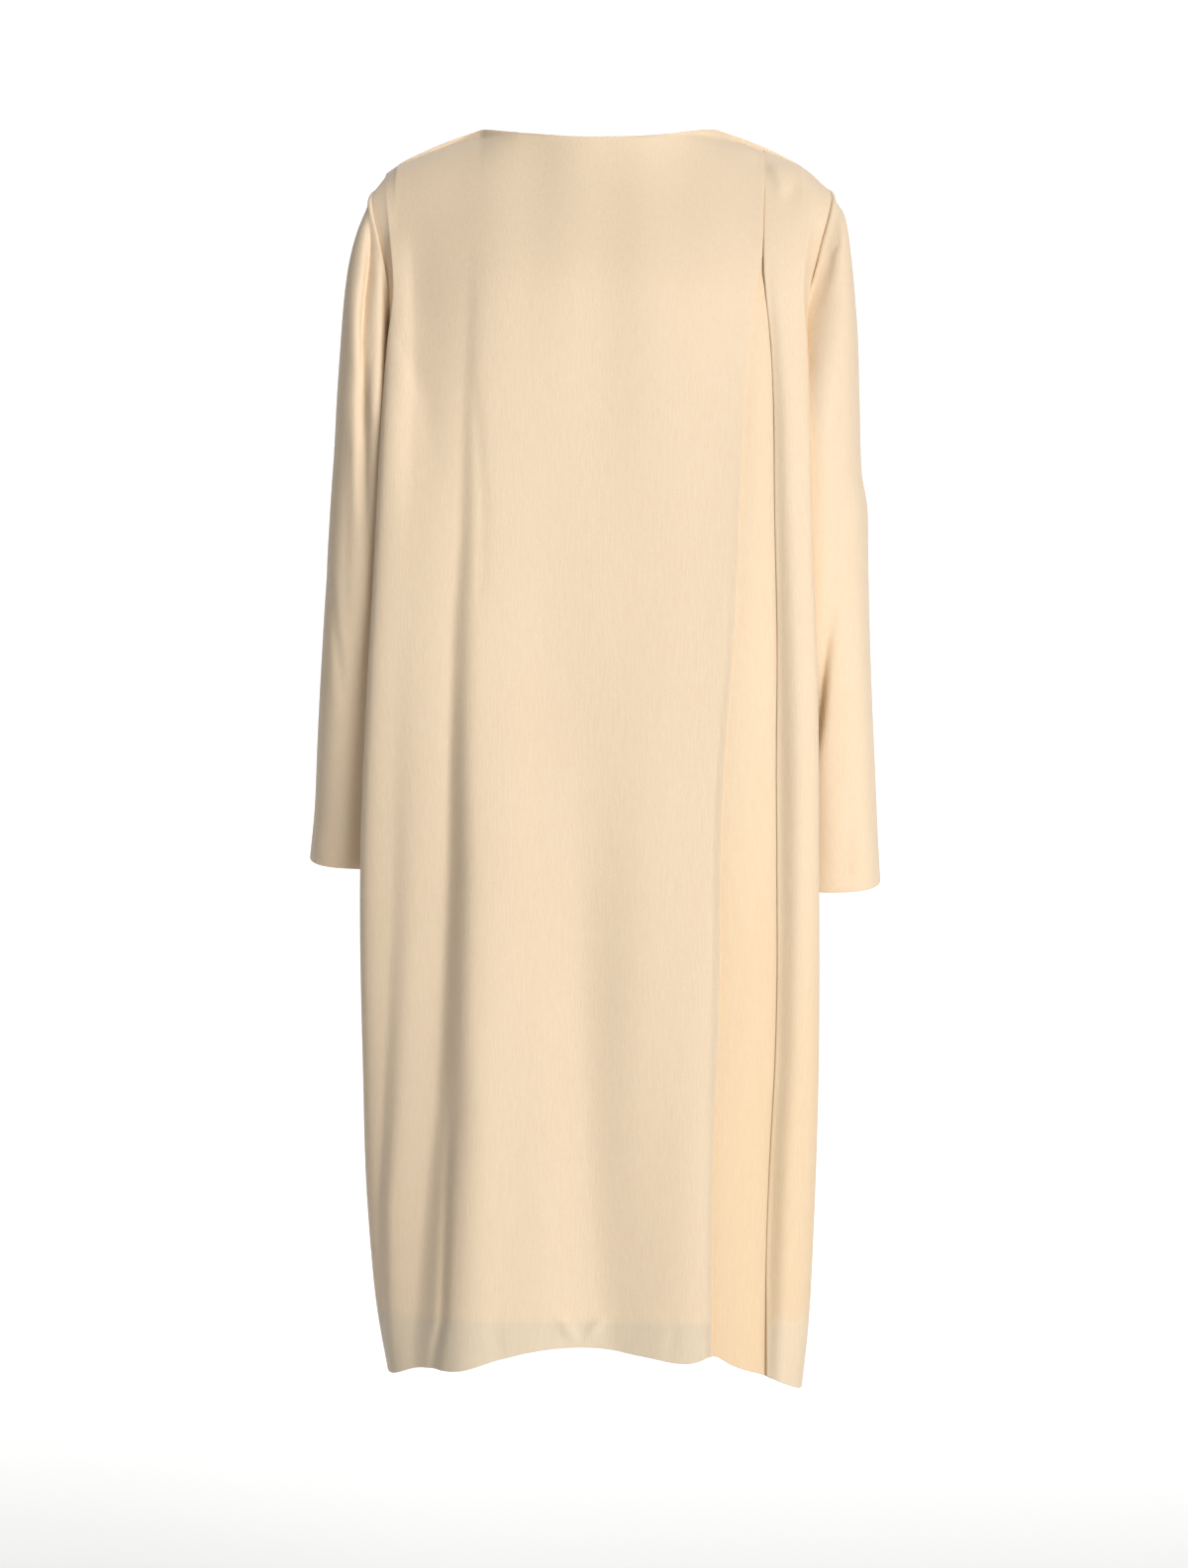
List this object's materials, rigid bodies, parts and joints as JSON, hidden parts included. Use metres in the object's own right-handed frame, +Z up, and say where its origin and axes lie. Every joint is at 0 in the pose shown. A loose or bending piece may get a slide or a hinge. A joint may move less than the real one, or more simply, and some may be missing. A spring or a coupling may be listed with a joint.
{
  "type": "tunic dress",
  "caption": "Straight long-sleeved tunic dress in plain peach crepe with a wide boat neckline and an inverted pleat down one side of the back, hollow and open at neck, cuffs and hem.",
  "frame": {"origin": "where the wearer's shoulders hold the dress: midway between the two neck points, at which the shoulder seams meet the neckline", "axes": "+Z up, -Y out of the garment's back (the pictured side), +Y out of its front, +X towards the wearer's right"},
  "size_m": [0.5137, 0.2732, 1.1029],
  "materials": {
    "crepe": "matte woven crepe with a slight sheen"
  },
  "bodies": {
    "root": {"back_panel": "crepe", "front_panel": "crepe", "left_sleeve": "crepe", "right_sleeve": "crepe"}
  },
  "joints": []
}
